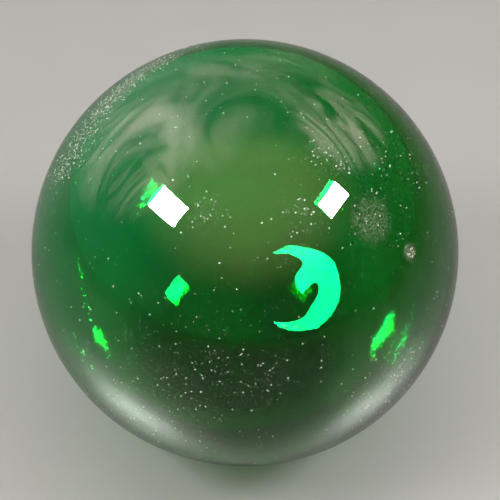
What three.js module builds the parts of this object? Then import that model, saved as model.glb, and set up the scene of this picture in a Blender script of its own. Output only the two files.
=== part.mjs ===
// A witch ball: a mouth-blown ball of deep green glass, sealed, that hangs in a window or lies on a shelf.
//
// Millimetres, +Z up. The origin is the centre of the small ground flat that the ball rests on,
// where the glassmaker's pontil scar was polished away. The ball is sealed, so it is one closed solid
// without the air inside it.

import * as THREE from "three";

// Driving sizes
const BALL_DIAMETER = 178;
const REST_FLAT_DIAMETER = 26;

// How finely the round form is cut
const MERIDIANS = 80; // a multiple of 4, so that the ball reaches its full width along X and Y
const PARALLELS_PER_QUARTER = 20;

// Worked out from the driving sizes
const ballRadius = BALL_DIAMETER / 2;
const flatRadius = REST_FLAT_DIAMETER / 2;
const centreHeight = Math.sqrt(ballRadius ** 2 - flatRadius ** 2);
const flatLatitude = -Math.acos(flatRadius / ballRadius);

const GREEN_GLASS = new THREE.MeshStandardMaterial({
  name: "green_glass",
  color: new THREE.Color(0.012, 0.22, 0.07),
  roughness: 0.04,
  metalness: 0,
  transparent: true,
  opacity: 0.85,
});

// Points of a meridian from one latitude to another, both ends included. The radius is x, the height is y.
function meridianArc(fromLatitude, toLatitude, steps) {
  return Array.from({ length: steps + 1 }, (_, i) => {
    const latitude = THREE.MathUtils.lerp(fromLatitude, toLatitude, i / steps);
    return new THREE.Vector2(
      ballRadius * Math.cos(latitude),
      centreHeight + ballRadius * Math.sin(latitude),
    );
  });
}

// Half the ball's outline, from the middle of the flat, round its edge and up to the top pole.
function ballOutline() {
  const flatCentre = new THREE.Vector2(0, 0);
  const topPole = new THREE.Vector2(0, centreHeight + ballRadius);
  const lowerHalf = meridianArc(flatLatitude, 0, PARALLELS_PER_QUARTER);
  const upperHalf = meridianArc(0, Math.PI / 2, PARALLELS_PER_QUARTER);
  lowerHalf[0].y = 0;
  return [flatCentre, ...lowerHalf, ...upperHalf.slice(1, -1), topPole];
}

// The lathe turns its outline about +Y, so the result is stood up about +Z.
function blownBall() {
  const geometry = new THREE.LatheGeometry(ballOutline(), MERIDIANS);
  geometry.rotateX(Math.PI / 2);
  const ball = new THREE.Mesh(geometry, GREEN_GLASS);
  ball.name = "glass_ball";
  return ball;
}

const witchBall = new THREE.Group();
witchBall.name = "witch_ball";
witchBall.add(blownBall());

export default witchBall;
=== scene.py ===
# Witch ball: a sealed, mouth-blown ball of deep green glass, with fine dust settled on it, and a few
# reflections painted on it in the dust's colour.
# Metres, +Z up, the same frame as the imported model. The ball rests on its ground flat at the origin.

import math
import random

import bpy
from mathutils import Matrix, Quaternion, Vector, noise


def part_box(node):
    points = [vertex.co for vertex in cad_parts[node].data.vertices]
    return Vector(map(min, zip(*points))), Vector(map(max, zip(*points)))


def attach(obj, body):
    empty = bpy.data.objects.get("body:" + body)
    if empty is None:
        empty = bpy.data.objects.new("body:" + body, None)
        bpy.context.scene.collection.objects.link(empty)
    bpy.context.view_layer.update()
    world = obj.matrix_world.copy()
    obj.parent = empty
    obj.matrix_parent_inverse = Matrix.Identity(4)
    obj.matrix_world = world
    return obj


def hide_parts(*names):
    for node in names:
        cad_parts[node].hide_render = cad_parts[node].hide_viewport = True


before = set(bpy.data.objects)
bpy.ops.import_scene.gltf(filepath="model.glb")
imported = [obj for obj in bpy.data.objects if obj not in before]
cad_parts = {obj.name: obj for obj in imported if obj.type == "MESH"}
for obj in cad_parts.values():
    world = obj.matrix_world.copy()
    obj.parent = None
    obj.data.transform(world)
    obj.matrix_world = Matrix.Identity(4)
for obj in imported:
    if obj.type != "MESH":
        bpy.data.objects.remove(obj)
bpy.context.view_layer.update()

bl_info = {
    "name": "Witch Ball",
    "version": (1, 0, 0),
    "blender": (4, 5, 0),
    "location": "View3D > Sidebar > Witch Ball",
    "description": "Blows a sealed green glass witch ball and dusts it",
    "category": "Object",
}

NODE = "glass_ball"
BODY = "root"

LOW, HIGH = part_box(NODE)
BALL_WIDTH = HIGH[0] - LOW[0]
FULL_RADIUS = BALL_WIDTH / 2
CENTRE = Vector(((LOW[0] + HIGH[0]) / 2, (LOW[1] + HIGH[1]) / 2, HIGH[2] - FULL_RADIUS))
SKIN = 0.00015  # room kept between the glass and the CAD outline, for the dust that lies on it
GLASS_RADIUS = FULL_RADIUS - SKIN
BARELY = 1e-7  # nearer than this counts as touching
FILM_HEIGHT = 0.00004  # of the film of dust above the glass
FILM_FOOT = 0.002  # the film stops this far above the ground flat
GLASS_FACETS, FILM_FACETS = 7, 6  # how many times a bubble's facets are halved


# Sizes and colours a user would change

class WitchBallSizes(bpy.types.PropertyGroup):
    wall: bpy.props.FloatProperty(
        name="Wall", description="Thickness of the glass, on average",
        default=0.0019, min=0.0008, max=0.004, subtype="DISTANCE", unit="LENGTH")
    wall_drift: bpy.props.FloatVectorProperty(
        name="Wall drift", description="How far the air space sits off the middle, so one side is thicker",
        default=(-0.0008, 0.0005, 0.0007), size=3, subtype="TRANSLATION", unit="LENGTH")
    wall_waves: bpy.props.FloatProperty(
        name="Wall waves", description="Height of the slow waves of the inner wall",
        default=0.00003, min=0.0, max=0.0006, subtype="DISTANCE", unit="LENGTH")
    seal_place: bpy.props.FloatVectorProperty(
        name="Seal place", description="Azimuth and elevation of the gather of glass that closed the ball",
        default=(math.radians(56.7), math.radians(-55.5)), size=2, subtype="NONE", unit="ROTATION")
    seal_height: bpy.props.FloatProperty(
        name="Seal height", description="How far the gather stands into the ball",
        default=0.0033, min=0.0, max=0.008, subtype="DISTANCE", unit="LENGTH")
    seal_reach: bpy.props.FloatVectorProperty(
        name="Seal reach", description="Long and short reach of the gather from its middle",
        default=(0.0199, 0.0179), size=2, min=0.004, max=0.03, subtype="NONE", unit="LENGTH")
    seal_turn: bpy.props.FloatProperty(
        name="Seal turn", description="How the long reach is turned over the wall",
        default=-0.872, subtype="ANGLE", unit="ROTATION")
    seal_edge: bpy.props.FloatProperty(
        name="Seal edge", description="How sharply the gather falls off at its edge: 2 is a soft mound",
        default=3.76, min=1.0, max=6.0)


class WitchBallFinish(bpy.types.PropertyGroup):
    glass_tint: bpy.props.FloatVectorProperty(
        name="Glass tint", description="Colour that the thickness of the glass lets through",
        default=(0.0, 0.93, 0.73), size=3, min=0.0, max=1.0, subtype="COLOR")
    glass_depth: bpy.props.FloatProperty(
        name="Glass depth", description="How fast the glass swallows light, per metre",
        default=2600.0, min=0.0, max=5000.0)
    speck_and_film_colour: bpy.props.FloatVectorProperty(
        name="Speck and film colour", description="Colour of the specks and of the film",
        default=(0.86, 0.87, 0.76), size=3, min=0.0, max=1.0, subtype="COLOR")
    dust_and_reflection_specks: bpy.props.IntProperty(
        name="Dust and reflection specks", description="How many specks of dust lie on the ball",
        default=8000, min=0, max=12000)
    dust_seed: bpy.props.IntProperty(
        name="Dust seed", description="Changes where the specks fall", default=7, min=0, max=999)


class WitchBallStage(bpy.types.PropertyGroup):
    camera_height: bpy.props.FloatProperty(
        name="Camera elevation", description="How far above the horizontal the camera looks from",
        default=math.radians(45), min=0.0, max=1.5, subtype="ANGLE", unit="ROTATION")
    camera_distance: bpy.props.FloatProperty(
        name="Camera distance", description="From the camera to the middle of the ball",
        default=0.48, min=0.3, max=3.0, subtype="DISTANCE", unit="LENGTH")
    floor_colour: bpy.props.FloatVectorProperty(
        name="Floor colour", description="Colour of the plain floor",
        default=(0.58, 0.575, 0.57), size=3, min=0.0, max=1.0, subtype="COLOR")


# Small helpers

def deselect_all():
    if bpy.context.mode != "OBJECT":
        bpy.ops.object.mode_set(mode="OBJECT")
    bpy.ops.object.select_all(action="DESELECT")


def pick(*objects):
    deselect_all()
    for item in objects:
        item.select_set(True)
    bpy.context.view_layer.objects.active = objects[0]


def settle(piece):
    """Put the piece's place into its mesh, so its object sits unturned at the origin."""
    pick(piece)
    bpy.ops.object.transform_apply(location=True, rotation=True, scale=True)


def direction(azimuth, elevation):
    """The way from the ball's middle to a place on it, in degrees. Azimuth -90 faces the camera."""
    a, e = math.radians(azimuth), math.radians(elevation)
    return Vector((math.cos(e) * math.cos(a), math.cos(e) * math.sin(a), math.sin(e)))


# Shader building

def node(tree, kind, links=None, label=None, **settings):
    """Add a shader node, set its own settings, and fill or link its inputs."""
    item = tree.nodes.new(kind)
    if label:
        item.label = label
    for key, value in settings.items():
        setattr(item, key, value)
    for key, value in (links or {}).items():
        if isinstance(value, bpy.types.NodeSocket):
            tree.links.new(value, item.inputs[key])
        else:
            item.inputs[key].default_value = value
    return item


def new_group(name, inputs, outputs):
    group = bpy.data.node_groups.new(name, "ShaderNodeTree")
    for label, kind, default in inputs:
        socket = group.interface.new_socket(name=label, in_out="INPUT", socket_type=kind)
        if default is not None:
            socket.default_value = default
    for label, kind in outputs:
        group.interface.new_socket(name=label, in_out="OUTPUT", socket_type=kind)
    return group, group.nodes.new("NodeGroupInput"), group.nodes.new("NodeGroupOutput")


def math_node(tree, operation, first, second=0.0, clamp=False):
    item = node(tree, "ShaderNodeMath", {0: first, 1: second}, operation=operation)
    item.use_clamp = clamp
    return item.outputs[0]


def patch_group():
    """A soft round patch on the ball, full strength inside one angle and gone outside another."""
    group, put, out = new_group(
        "Ball patch",
        [("Place", "NodeSocketVector", None), ("Full inside", "NodeSocketFloat", 0.99),
         ("Gone outside", "NodeSocketFloat", 0.9)],
        [("Mask", "NodeSocketFloat")])
    where = node(group, "ShaderNodeTexCoord").outputs["Object"]
    middle = node(group, "ShaderNodeVectorMath", {0: where, 1: CENTRE}, operation="SUBTRACT")
    outward = node(group, "ShaderNodeVectorMath", {0: middle.outputs[0]}, operation="NORMALIZE")
    facing = node(group, "ShaderNodeVectorMath", {0: outward.outputs[0], 1: put.outputs["Place"]},
                  operation="DOT_PRODUCT")
    mask = node(group, "ShaderNodeMapRange",
                {"Value": facing.outputs["Value"], "From Min": put.outputs["Gone outside"],
                 "From Max": put.outputs["Full inside"]}, interpolation_type="SMOOTHSTEP")
    group.links.new(mask.outputs[0], out.inputs["Mask"])
    return group


def wiped_group():
    """Arcs left by old wiping: noise drawn out in rings about an axis, as a mask."""
    group, put, out = new_group(
        "Wiped arcs",
        [("Turn", "NodeSocketVector", None), ("Fineness", "NodeSocketFloat", 12.0),
         ("Cut", "NodeSocketFloat", 0.45)],
        [("Mask", "NodeSocketFloat")])
    where = node(group, "ShaderNodeTexCoord").outputs["Object"]
    middle = node(group, "ShaderNodeVectorMath", {0: where, 1: CENTRE}, operation="SUBTRACT")
    outward = node(group, "ShaderNodeVectorMath", {0: middle.outputs[0]}, operation="NORMALIZE")
    turned = node(group, "ShaderNodeVectorRotate",
                  {"Vector": outward.outputs[0], "Rotation": put.outputs["Turn"]}, rotation_type="EULER_XYZ")
    parts = node(group, "ShaderNodeSeparateXYZ", {0: turned.outputs[0]})
    flat = node(group, "ShaderNodeCombineXYZ", {0: parts.outputs[0], 1: parts.outputs[1]})
    around = node(group, "ShaderNodeVectorMath", {0: flat.outputs[0]}, operation="NORMALIZE")
    ring = node(group, "ShaderNodeCombineXYZ",
                {2: math_node(group, "MULTIPLY", parts.outputs[2], put.outputs["Fineness"])})
    place = node(group, "ShaderNodeVectorMath", {0: around.outputs[0], 1: ring.outputs[0]}, operation="ADD")
    drawn_out = node(group, "ShaderNodeTexNoise",
                     {"Vector": place.outputs[0], "Scale": 1.0, "Detail": 5.0, "Roughness": 0.65,
                      "Distortion": 1.4})
    mask = node(group, "ShaderNodeMapRange",
                {"Value": drawn_out.outputs[0], "From Min": put.outputs["Cut"], "From Max": 0.72},
                interpolation_type="SMOOTHSTEP")
    group.links.new(mask.outputs[0], out.inputs["Mask"])
    return group


def patch(tree, group, azimuth, elevation, full, gone):
    """A placed patch, its middle by azimuth and elevation and its two reaches by angle, all in degrees."""
    item = tree.nodes.new("ShaderNodeGroup")
    item.node_tree = group
    item.inputs["Place"].default_value = direction(azimuth, elevation)
    item.inputs["Full inside"].default_value = math.cos(math.radians(full))
    item.inputs["Gone outside"].default_value = math.cos(math.radians(gone))
    return item.outputs["Mask"]


def streaks(tree, group, turn, fineness, cut):
    item = tree.nodes.new("ShaderNodeGroup")
    item.node_tree = group
    item.inputs["Turn"].default_value = [math.radians(angle) for angle in turn]
    item.inputs["Fineness"].default_value = fineness
    item.inputs["Cut"].default_value = cut
    return item.outputs["Mask"]


def new_material(name):
    material = bpy.data.materials.new(name)
    material.use_nodes = True
    tree = material.node_tree
    return material, tree, tree.nodes["Principled BSDF"], tree.nodes["Material Output"]


GLASS_INDEX = 1.5
HAZE = 0.008  # the roughness of the faint streaks of old wiping
CORD_SIZE, CORD_DEPTH, CORD_STRENGTH = 14.0, 0.0004, 0.04  # the slow cords in blown glass
SHADOW_SHARE = 0.62  # of a lamp's light that each surface of the glass lets through to the floor


def green_glass(finish, wiped):
    """Clear glass whose thickness is what makes it green, with the faint haze of old wiping."""
    material, tree, shader, output = new_material("Green blown glass")
    shader.inputs["Base Color"].default_value = (1.0, 1.0, 1.0, 1.0)
    shader.inputs["Metallic"].default_value = 0.0
    shader.inputs["IOR"].default_value = GLASS_INDEX
    shader.inputs["Transmission Weight"].default_value = 1.0
    swallow = node(tree, "ShaderNodeVolumeAbsorption")
    swallow.inputs["Color"].default_value = (*finish.glass_tint, 1.0)
    swallow.inputs["Density"].default_value = finish.glass_depth
    tree.links.new(swallow.outputs["Volume"], output.inputs["Volume"])
    rubbed = streaks(tree, wiped, (-45, 0, 0), 14.0, 0.5)
    rough = node(tree, "ShaderNodeMapRange", {"Value": rubbed, "To Min": 0.0, "To Max": HAZE})
    tree.links.new(rough.outputs[0], shader.inputs["Roughness"])
    where = node(tree, "ShaderNodeTexCoord").outputs["Object"]
    cords = node(tree, "ShaderNodeTexNoise", {"Vector": where, "Scale": CORD_SIZE, "Detail": 0.0})
    bump = node(tree, "ShaderNodeBump",
                {"Height": cords.outputs[0], "Strength": CORD_STRENGTH, "Distance": CORD_DEPTH})
    tree.links.new(bump.outputs["Normal"], shader.inputs["Normal"])
    # Light that makes shadows goes straight through, weaker and tinted by the thickness
    clear = node(tree, "ShaderNodeBsdfTransparent", {"Color": (*[SHADOW_SHARE] * 3, 1.0)})
    ray = node(tree, "ShaderNodeLightPath")
    both = node(tree, "ShaderNodeMixShader", {0: ray.outputs["Is Shadow Ray"], 1: shader.outputs[0],
                                              2: clear.outputs[0]})
    tree.links.new(both.outputs[0], output.inputs["Surface"])
    return material


DARK_GRAIN, LIGHT_GRAIN = 0.72, 1.25  # the specks' own tones, as shares of the dust's colour


def dust(finish):
    """Matt grey specks, some darker and some lighter, for the dust and for the specks that paint mirrored
    reflections.
    """
    material, tree, shader, _ = new_material("Dust and reflection specks")
    where = node(tree, "ShaderNodeTexCoord").outputs["Object"]
    grains = node(tree, "ShaderNodeTexNoise", {"Vector": where, "Scale": 900.0, "Detail": 1.0})
    tone = node(tree, "ShaderNodeMix", {"Factor": grains.outputs[0]}, data_type="RGBA")
    tone.inputs[6].default_value = (*[part * DARK_GRAIN for part in finish.speck_and_film_colour], 1.0)
    tone.inputs[7].default_value = (*[min(1.0, part * LIGHT_GRAIN) for part in finish.speck_and_film_colour], 1.0)
    tree.links.new(tone.outputs[2], shader.inputs["Base Color"])
    shader.inputs["Roughness"].default_value = 0.85
    return material


# Wiped arcs of film: azimuth, elevation, reach at full strength and at the edge, and the turn of the rings,
# all in degrees, then how fine the rings are, how much of the noise is cut away, and the strength
SWEPT = (
    (-151, 58, 3, 19, (-45, 0, 0), 6.5, 0.30, 0.24),
    (-170, 64, 3, 20, (-56, 8, 0), 4.5, 0.36, 0.09),
    (-22, 64, 2, 14, (-45, 9, 0), 10.0, 0.36, 0.25),
    (-142, 81, 6, 24, (-38, 0, 0), 5.0, 0.32, 0.11),
    (31, 77, 3, 15, (-30, -12, 0), 5.0, 0.34, 0.10),
)
# Grainy patches of film: azimuth, elevation and the two reaches in degrees, and the strength.
# Most are dust. Three are painted reflections: the small strong patch at (-37.4, 31.4) paints a mirrored
# room object, and the patches at (-113, -1) and (-54, 0) paint the lamps' sheen on the floor, mirrored low on
# the ball
GRAIN_AND_REFLECTION_PATCHES = (
    # The second patch here is a painted reflection of a room object; the others are dust
    (-45, 44, 1, 7, 0.16), (-37.4, 31.4, 1.0, 2.6, 0.30), (-175, 45, 6, 22, 0.07), (150, 58, 6, 22, 0.07),
    # Painted sheen: the lamps' sheen on the floor, mirrored at the lower left and the lower right of the ball
    (-113, -1, 4, 22, 0.09), (-54, 0, 3, 20, 0.10),
)
FILM_EVERYWHERE, FILM_MOST = 0.005, 0.5  # the film's cover away from these places, and at most


def dust_and_reflection_film(finish, patches, wiped):
    """The thin grey film: faint and uneven everywhere, thicker in wiped arcs and in grainy patches, three of
    which are painted reflections.
    """
    material, tree, shader, _ = new_material("Dust and reflection film")
    shader.inputs["Base Color"].default_value = (*finish.speck_and_film_colour, 1.0)
    shader.inputs["Roughness"].default_value = 0.9
    where = node(tree, "ShaderNodeTexCoord").outputs["Object"]
    grain = node(tree, "ShaderNodeTexNoise", {"Vector": where, "Scale": 1300.0, "Detail": 2.0})
    grain = node(tree, "ShaderNodeMapRange", {"Value": grain.outputs[0], "From Min": 0.42, "From Max": 0.72})
    uneven = node(tree, "ShaderNodeTexNoise", {"Vector": where, "Scale": 28.0, "Detail": 3.0})
    uneven = node(tree, "ShaderNodeMapRange", {"Value": uneven.outputs[0], "From Min": 0.4, "From Max": 0.75})
    total = math_node(tree, "MULTIPLY", uneven.outputs[0], FILM_EVERYWHERE)
    for azimuth, elevation, full, gone, turn, fineness, cut, strength in SWEPT:
        place = patch(tree, patches, azimuth, elevation, full, gone)
        here = math_node(tree, "MULTIPLY", place, streaks(tree, wiped, turn, fineness, cut))
        total = math_node(tree, "ADD", total, math_node(tree, "MULTIPLY", here, strength))
    # Grainy patches: dust, and three painted reflections in the dust's colour
    for azimuth, elevation, full, gone, strength in GRAIN_AND_REFLECTION_PATCHES:
        place = patch(tree, patches, azimuth, elevation, full, gone)
        here = math_node(tree, "MULTIPLY", place, grain.outputs[0])
        total = math_node(tree, "ADD", total, math_node(tree, "MULTIPLY", here, strength))
    tree.links.new(math_node(tree, "MINIMUM", total, FILM_MOST), shader.inputs["Alpha"])
    return material


DIMMED_SHARE = 0.55  # of the floor's brightness that is left in the mirror image and behind the ball
THROUGH_BOTH_WALLS = 3.5  # a ray that has passed both walls was bent four times


def pale_floor(colour):
    """The plain floor."""
    material, tree, shader, _ = new_material("Pale floor")
    # Mirrored on the outside of the ball, and seen through it, the floor is darker: the glass stays green
    ray = node(tree, "ShaderNodeLightPath")
    through = math_node(tree, "GREATER_THAN", ray.outputs["Transmission Depth"], THROUGH_BOTH_WALLS)
    dimmed = math_node(tree, "MAXIMUM", ray.outputs["Is Glossy Ray"], through)
    tone = node(tree, "ShaderNodeMix", {"Factor": dimmed}, data_type="RGBA")
    tone.inputs[6].default_value = (*colour, 1.0)
    tone.inputs[7].default_value = (*[part * DIMMED_SHARE for part in colour], 1.0)
    tree.links.new(tone.outputs[2], shader.inputs["Base Color"])
    shader.inputs["Roughness"].default_value = 0.38
    return material


# The pieces

def blown_sphere(name, radius, centre, subdivisions):
    """A round bubble of small, even facets, shaded smooth."""
    deselect_all()
    bpy.ops.mesh.primitive_ico_sphere_add(subdivisions=subdivisions, radius=radius, location=centre)
    ball = bpy.context.object
    ball.name = name
    settle(ball)
    bpy.ops.object.shade_smooth()
    return ball


def grind_flat(ball, height):
    """Cut the underside level, and leave its edge crisp."""
    pick(ball)
    bpy.ops.object.mode_set(mode="EDIT")
    bpy.ops.mesh.select_all(action="SELECT")
    bpy.ops.mesh.bisect(plane_co=(0.0, 0.0, height), plane_no=(0.0, 0.0, 1.0), use_fill=True,
                        clear_inner=True, threshold=BARELY)
    bpy.ops.object.mode_set(mode="OBJECT")
    for face in ball.data.polygons:
        level = all(abs(ball.data.vertices[i].co.z - height) < 1e-6 for i in face.vertices)
        face.use_smooth = not level
        face.select = level
    bpy.ops.object.mode_set(mode="EDIT")
    bpy.ops.mesh.select_mode(type="FACE")
    bpy.ops.mesh.region_to_loop()
    bpy.ops.mesh.mark_sharp()
    bpy.ops.object.mode_set(mode="OBJECT")


# A shallow dip beside the seal, where the soft glass sank: its place, depth, reaches, turn and edge
DIP_PLACE = (math.radians(64.5), math.radians(-44.3))
DIP_DEPTH = 0.00065
DIP_REACH = (0.0093, 0.016)
DIP_TURN = -1.444
DIP_EDGE = 1.73


def swelling(place, turn, reach, edge):
    """The shape of a swelling of the inner wall, 1 at its top, at places given from the ball's middle."""
    out = direction(math.degrees(place[0]), math.degrees(place[1]))
    level = Vector((0, 0, 1)).cross(out).normalized()
    upright = out.cross(level)
    longways = (level * math.cos(turn) + upright * math.sin(turn)) / reach[0]
    shortways = (upright * math.cos(turn) - level * math.sin(turn)) / reach[1]

    def height(spot):
        if spot.dot(out) <= 0.0:
            return 0.0
        return math.exp(-0.5 * math.hypot(spot.dot(longways), spot.dot(shortways)) ** edge)
    return height


def slow_waves(outward):
    return noise.noise(outward * 1.7) + 0.3 * noise.noise(outward * 3.1 + Vector((4.0, 1.0, 2.0)))


class WITCHBALL_OT_blow_glass(bpy.types.Operator):
    """Blow the ball: an even outer skin with a ground flat, and an uneven inner wall with the sealed end"""
    bl_idname = "witchball.blow_glass"
    bl_label = "Blow the glass"

    def execute(self, context):
        sizes = context.scene.witch_ball_sizes
        finish = context.scene.witch_ball_finish
        outer = blown_sphere("outer_skin", GLASS_RADIUS, CENTRE, GLASS_FACETS)
        grind_flat(outer, LOW[2])

        inner_centre = CENTRE + Vector(sizes.wall_drift)
        spare = 2.0 * sizes.wall_waves + DIP_DEPTH  # the sphere starts wider by this and is all drawn in
        inner = blown_sphere("inner_wall", GLASS_RADIUS - sizes.wall + spare, inner_centre, GLASS_FACETS)
        seal = swelling(sizes.seal_place, sizes.seal_turn, sizes.seal_reach, sizes.seal_edge)
        dip = swelling(DIP_PLACE, DIP_TURN, DIP_REACH, DIP_EDGE)
        reach = 2.0 * spare + sizes.seal_height
        thickness = inner.vertex_groups.new(name="thickness")
        for vertex in inner.data.vertices:
            spot = vertex.co - CENTRE
            inwards = (sizes.seal_height * seal(spot) - DIP_DEPTH * dip(spot)
                       + sizes.wall_waves * slow_waves(spot.normalized()))
            thickness.add([vertex.index], (inwards + spare) / reach, "REPLACE")
        pick(inner)
        bpy.ops.object.modifier_add(type="DISPLACE")
        gather = inner.modifiers[-1]
        gather.vertex_group = "thickness"
        gather.mid_level = 0.0
        gather.strength = -reach
        bpy.ops.object.modifier_apply(modifier=gather.name)
        inner.vertex_groups.clear()
        bpy.ops.object.mode_set(mode="EDIT")
        bpy.ops.mesh.select_all(action="SELECT")
        bpy.ops.mesh.flip_normals()
        bpy.ops.object.mode_set(mode="OBJECT")

        pick(outer, inner)
        bpy.ops.object.join()
        ball = bpy.context.object
        ball.name = "blown_glass_wall"
        ball.data.materials.clear()
        ball.data.materials.append(green_glass(finish, bpy.data.node_groups["Wiped arcs"]))
        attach(ball, BODY)
        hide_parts(NODE)
        return {"FINISHED"}


# Where specks gather: azimuth, elevation and reach in degrees, and the share of all specks. Most are dust
# that has gathered. The clusters at (-37.4, 31.4), (-113, -1) and (-54, 0) are painted reflections: the grain
# of a mirrored room object, and of the lamps' sheen on the floor, mirrored low on the ball
DUST_AND_REFLECTION_PLACES = (
    (-173, 37, 6, 0.035), (-175, 43, 7, 0.045), (178, 47, 7, 0.045), (169, 52, 7, 0.045),
    (161, 55, 7, 0.04), (152, 58, 6, 0.03), (140, 61, 7, 0.03), (-104, 54, 4, 0.010),
    (-69, 52, 6, 0.014), (-47, 64, 4, 0.010), (-41, 58, 3, 0.006), (-45, 44, 6, 0.010), (-23, 48, 20, 0.02),
    # The last cluster here paints a mirrored room object; the others are dust
    (-101, 15, 15, 0.02), (-85, 13, 5, 0.005), (-37.4, 31.4, 2.0, 0.005),
    # The first two clusters here paint the lamps' sheen on the floor, mirrored low on the ball; the last is
    # dust
    (-113, -1, 17, 0.035), (-54, 0, 15, 0.03), (-95, 5, 26, 0.02),
)


COARSE_SHARE = 0.16
COARSE_SPECK, FINE_SPECK = (0.00017, 0.00034), (0.00006, 0.00015)  # least and most reach
USUAL_STRETCH, FIBRE_STRETCH, USUAL_SHARE = (1.0, 1.0, 1.0, 1.2, 1.5), 3.0, 0.99
SPECK_FLATNESS, SPECK_LUMPS = 0.5, 0.25
SPECK_TOP, LUMP_TOP = 0.9 * SKIN, 0.92 * SKIN  # no speck rises past the CAD outline
SHELTERED, BARE = 0.3, -0.9  # heights in radii: fewer loose specks below the one, and none below the other


class WITCHBALL_OT_settle_dust(bpy.types.Operator):
    """Settle specks of dust on the ball, thickly in places, and clusters of specks that paint mirrored
    reflections
    """
    bl_idname = "witchball.settle_dust"
    bl_label = "Settle the specks"

    def execute(self, context):
        finish = context.scene.witch_ball_finish
        rng = random.Random(finish.dust_seed)
        deselect_all()
        bpy.ops.mesh.primitive_ico_sphere_add(subdivisions=1, radius=1.0, location=(0, 0, 0))
        speck = bpy.context.object
        corners = [vertex.co.copy() for vertex in speck.data.vertices]
        faces = [tuple(face.vertices) for face in speck.data.polygons]
        bpy.data.objects.remove(speck, do_unlink=True)

        spots, sides = [], []
        for _ in range(finish.dust_and_reflection_specks):
            outward = self.fall(rng)
            if outward is None:
                continue
            coarse = rng.random() < COARSE_SHARE
            size = rng.uniform(*(COARSE_SPECK if coarse else FINE_SPECK))
            stretch = rng.choice(USUAL_STRETCH) if rng.random() < USUAL_SHARE else FIBRE_STRETCH
            upright = Vector((0, 0, 1)).rotation_difference(outward)
            spin = Quaternion(outward, rng.uniform(0, math.tau)) @ upright
            middle = CENTRE + outward * GLASS_RADIUS
            base = len(spots)
            for corner in corners:
                lump = 1.0 + SPECK_LUMPS * noise.noise(corner * 3 + outward * 40)
                local = Vector((corner.x * size * stretch, corner.y * size / stretch ** 0.5,
                                min(corner.z * size * SPECK_FLATNESS, SPECK_TOP))) * lump
                local.z = min(local.z, LUMP_TOP)
                spots.append(middle + spin @ local)
            sides += [tuple(base + i for i in face) for face in faces]
        mesh = bpy.data.meshes.new("dust_and_reflection_specks")
        mesh.from_pydata(spots, [], sides)
        mesh.update()
        specks = bpy.data.objects.new("dust_and_reflection_specks", mesh)
        bpy.context.scene.collection.objects.link(specks)
        mesh.materials.append(dust(finish))
        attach(specks, BODY)
        return {"FINISHED"}

    def fall(self, rng):
        """A place for one speck, in one of the listed places or anywhere. None where a sheltered side stays
        clean.
        """
        draw = rng.random()
        for azimuth, elevation, reach, share in DUST_AND_REFLECTION_PLACES:
            if draw < share:
                middle = direction(azimuth, elevation)
                scatter = Vector([rng.gauss(0, 1) for _ in range(3)]) * math.radians(reach) * 0.5
                outward = (middle + scatter).normalized()
                break
            draw -= share
        else:
            outward = Vector([rng.gauss(0, 1) for _ in range(3)]).normalized()
            kept = 0.08 + max(0.0, 0.9 * outward.z + 0.35)
            if outward.z < SHELTERED and rng.random() > kept:
                return None
        if outward.z < BARE:
            return None
        return outward


class WITCHBALL_OT_lay_film(bpy.types.Operator):
    """Lay the thin film of dust, its wiped arcs and its painted reflections over the ball"""
    bl_idname = "witchball.lay_film"
    bl_label = "Lay the dust and reflection film"

    def execute(self, context):
        finish = context.scene.witch_ball_finish
        film = blown_sphere("dust_and_reflection_film", GLASS_RADIUS + FILM_HEIGHT, CENTRE, FILM_FACETS)
        pick(film)
        bpy.ops.object.mode_set(mode="EDIT")
        bpy.ops.mesh.select_all(action="SELECT")
        bpy.ops.mesh.bisect(plane_co=(0.0, 0.0, LOW[2] + FILM_FOOT), plane_no=(0.0, 0.0, 1.0),
                            clear_inner=True, threshold=BARELY)
        bpy.ops.object.mode_set(mode="OBJECT")
        film.data.materials.append(
            dust_and_reflection_film(finish, bpy.data.node_groups["Ball patch"], bpy.data.node_groups["Wiped arcs"]))
        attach(film, BODY)
        return {"FINISHED"}


# The stage

# The soft lights: where the left and the right ones stand, and how they are turned, in degrees
LEFT, LEFT_ROLL = (-0.490, -0.221, 0.722), 10
RIGHT, RIGHT_ROLL = (0.550, -0.141, 0.692), -8
TOP = (0.0, 0.1, 1.6)
TONED_AWAY = 0.76  # of a light that is seen mirrored once in the far wall


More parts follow.
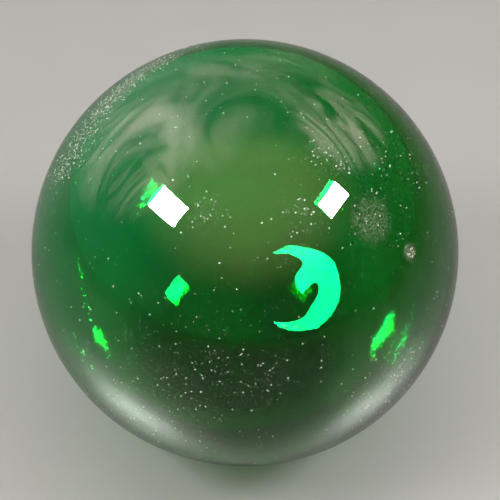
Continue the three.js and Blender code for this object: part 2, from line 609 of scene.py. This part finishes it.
def soft_box(name, place, roll, size, strength, seen_in_glass):
    """A rectangular light that faces the ball. One kind is mirrored in the glass, one lights the rest."""
    light = bpy.data.lights.new(name, "AREA")
    light.shape = "RECTANGLE"
    light.size, light.size_y = size
    light.energy = strength
    lamp = bpy.data.objects.new(name, light)
    bpy.context.scene.collection.objects.link(lamp)
    away = (Vector(place) - CENTRE).normalized()
    lamp.location = place
    lamp.rotation_mode = "QUATERNION"
    level = Vector((0, 0, 1)).cross(away).normalized()
    upright = away.cross(level)
    facing = Matrix((level, upright, away)).transposed()
    lamp.rotation_quaternion = facing.to_quaternion() @ Quaternion((0, 0, 1), math.radians(roll))
    if seen_in_glass:
        # Its light doesn't gather into bright rings on the floor through the ball
        light.use_nodes = True
        tree = light.node_tree
        ray = node(tree, "ShaderNodeLightPath")
        spared = math_node(tree, "LESS_THAN", ray.outputs["Diffuse Depth"], 0.5)
        # Seen mirrored once from the far wall it is toned down, so that its image stays green
        inside = math_node(tree, "GREATER_THAN", ray.outputs["Transmission Depth"], 0.5)
        once = math_node(tree, "LESS_THAN", ray.outputs["Glossy Depth"], 1.5)
        toned = math_node(tree, "MULTIPLY", math_node(tree, "MULTIPLY", inside, once), TONED_AWAY)
        shown = math_node(tree, "MULTIPLY", spared, math_node(tree, "SUBTRACT", 1.0, toned))
        tree.links.new(shown, tree.nodes["Emission"].inputs["Strength"])
    lamp.visible_camera = False
    lamp.visible_diffuse = not seen_in_glass
    lamp.visible_glossy = seen_in_glass
    lamp.visible_transmission = seen_in_glass
    return lamp


# The light of the studio, as colours: low down, overhead, what the glass shows around the ball, what lights
# the floor, and what the camera sees behind it
DIM, OVERHEAD = (0.10, 0.10, 0.085, 1.0), (1.75, 1.12, 0.50, 1.0)
AROUND = (0.85, 0.85, 0.80, 1.0)
ON_FLOOR = (0.37, 0.37, 0.36, 1.0)
BACKDROP = (0.42, 0.41, 0.39, 1.0)
MIDDLE_OF_GLOW = Vector((0.0, -0.17, 0.985))


def choose(tree, share, colour, other):
    """A colour that turns into the other one, which is a plain one, by the share."""
    mix = node(tree, "ShaderNodeMix", {"Factor": share, 6: colour, 7: other}, data_type="RGBA")
    return mix.outputs[2]


def soft_edge(tree, value, gone, full):
    edge = node(tree, "ShaderNodeMapRange", {"Value": value, "From Min": gone, "From Max": full},
                interpolation_type="SMOOTHSTEP")
    return edge.outputs[0]


def light_studio(scene):
    """Dim light with a broad, warm, soft glow overhead, which the glass mirrors."""
    world = bpy.data.worlds.new("Studio")
    scene.world = world
    world.use_nodes = True
    tree = world.node_tree
    way = node(tree, "ShaderNodeTexCoord").outputs["Generated"]
    parts = node(tree, "ShaderNodeSeparateXYZ", {0: way})
    ray = node(tree, "ShaderNodeLightPath")
    towards = node(tree, "ShaderNodeVectorMath", {0: way, 1: MIDDLE_OF_GLOW}, operation="DOT_PRODUCT")
    glow = math_node(tree, "MULTIPLY", soft_edge(tree, towards.outputs["Value"], 0.5, 0.97),
                     soft_edge(tree, parts.outputs[1], 0.46, 0.06))
    seen = choose(tree, glow, DIM, OVERHEAD)
    # Pale light from low down, seen only through the glass, makes the rim of the ball green
    low = soft_edge(tree, parts.outputs[2], 0.55, 0.15)
    seen = choose(tree, math_node(tree, "MULTIPLY", low, ray.outputs["Is Transmission Ray"]), seen, AROUND)
    # What lights the floor is even and grey, so that the warm glow doesn't colour it
    seen = choose(tree, ray.outputs["Is Diffuse Ray"], seen, ON_FLOOR)
    seen = choose(tree, ray.outputs["Is Camera Ray"], seen, BACKDROP)
    tree.links.new(seen, tree.nodes["Background"].inputs["Color"])


class WITCHBALL_OT_set_stage(bpy.types.Operator):
    """Set the pale floor, the soft lights and the camera"""
    bl_idname = "witchball.set_stage"
    bl_label = "Set the stage"

    def execute(self, context):
        stage = context.scene.witch_ball_stage
        deselect_all()
        bpy.ops.mesh.primitive_plane_add(size=6.0, location=(0, 0, LOW[2] - 0.0001))
        floor = bpy.context.object
        floor.name = "floor"
        settle(floor)
        floor.data.materials.append(pale_floor(stage.floor_colour))

        soft_box("left_soft_box", LEFT, LEFT_ROLL, (0.249, 0.160), 62.0, True)
        soft_box("right_soft_box", RIGHT, RIGHT_ROLL, (0.222, 0.121), 42.0, True)
        soft_box("left_light", LEFT, LEFT_ROLL, (0.30, 0.22), 3.7, False)
        soft_box("right_light", RIGHT, RIGHT_ROLL, (0.30, 0.20), 3.3, False)
        soft_box("top_light", TOP, 0, (1.4, 1.4), 3.2, False)

        light_studio(context.scene)
        # The bright images mirrored inside the glass aren't cut short
        context.scene.cycles.sample_clamp_indirect = 0.0

        tilt = stage.camera_height
        back = Vector((0.0, -math.cos(tilt), math.sin(tilt)))
        data = bpy.data.cameras.new("camera")
        camera = bpy.data.objects.new("camera", data)
        context.scene.collection.objects.link(camera)
        camera.location = CENTRE + back * stage.camera_distance
        camera.rotation_mode = "QUATERNION"
        camera.rotation_quaternion = (-back).to_track_quat("-Z", "Y")
        half_angle = math.asin(FULL_RADIUS / stage.camera_distance)
        # In pixels: the picture's width, and the ball's reach and middle on it
        picture, ball_on_picture, middle = 500.0, 214.0, (245.0, 252.5)
        data.sensor_width = 36.0
        data.lens = data.sensor_width * ball_on_picture / math.tan(half_angle) / picture
        data.shift_x = (picture / 2 - middle[0]) / picture
        data.shift_y = (middle[1] - picture / 2) / picture
        data.clip_start = 0.01
        context.scene.camera = camera
        context.scene.view_settings.view_transform = "Standard"
        return {"FINISHED"}


class WITCHBALL_PT_maker(bpy.types.Panel):
    """Sizes, finish and making steps of the witch ball"""
    bl_idname = "WITCHBALL_PT_maker"
    bl_label = "Witch Ball"
    bl_space_type = "VIEW_3D"
    bl_region_type = "UI"
    bl_category = "Witch Ball"

    def draw(self, context):
        layout = self.layout
        for title, group in (("Sizes", context.scene.witch_ball_sizes),
                             ("Finish", context.scene.witch_ball_finish),
                             ("Stage", context.scene.witch_ball_stage)):
            box = layout.box()
            box.label(text=title)
            for name in group.__annotations__:
                box.prop(group, name)
        for step in STEPS:
            layout.operator(step.bl_idname, text=step.bl_label)


STEPS = (WITCHBALL_OT_blow_glass, WITCHBALL_OT_settle_dust, WITCHBALL_OT_lay_film, WITCHBALL_OT_set_stage)
CLASSES = (WitchBallSizes, WitchBallFinish, WitchBallStage, *STEPS, WITCHBALL_PT_maker)


def register():
    for item in CLASSES:
        bpy.utils.register_class(item)
    bpy.types.Scene.witch_ball_sizes = bpy.props.PointerProperty(type=WitchBallSizes)
    bpy.types.Scene.witch_ball_finish = bpy.props.PointerProperty(type=WitchBallFinish)
    bpy.types.Scene.witch_ball_stage = bpy.props.PointerProperty(type=WitchBallStage)


def unregister():
    del bpy.types.Scene.witch_ball_sizes
    del bpy.types.Scene.witch_ball_finish
    del bpy.types.Scene.witch_ball_stage
    for item in reversed(CLASSES):
        bpy.utils.unregister_class(item)


def main():
    register()
    patch_group()
    wiped_group()
    bpy.ops.witchball.blow_glass()
    bpy.ops.witchball.settle_dust()
    bpy.ops.witchball.lay_film()
    bpy.ops.witchball.set_stage()


if __name__ == "__main__":
    main()
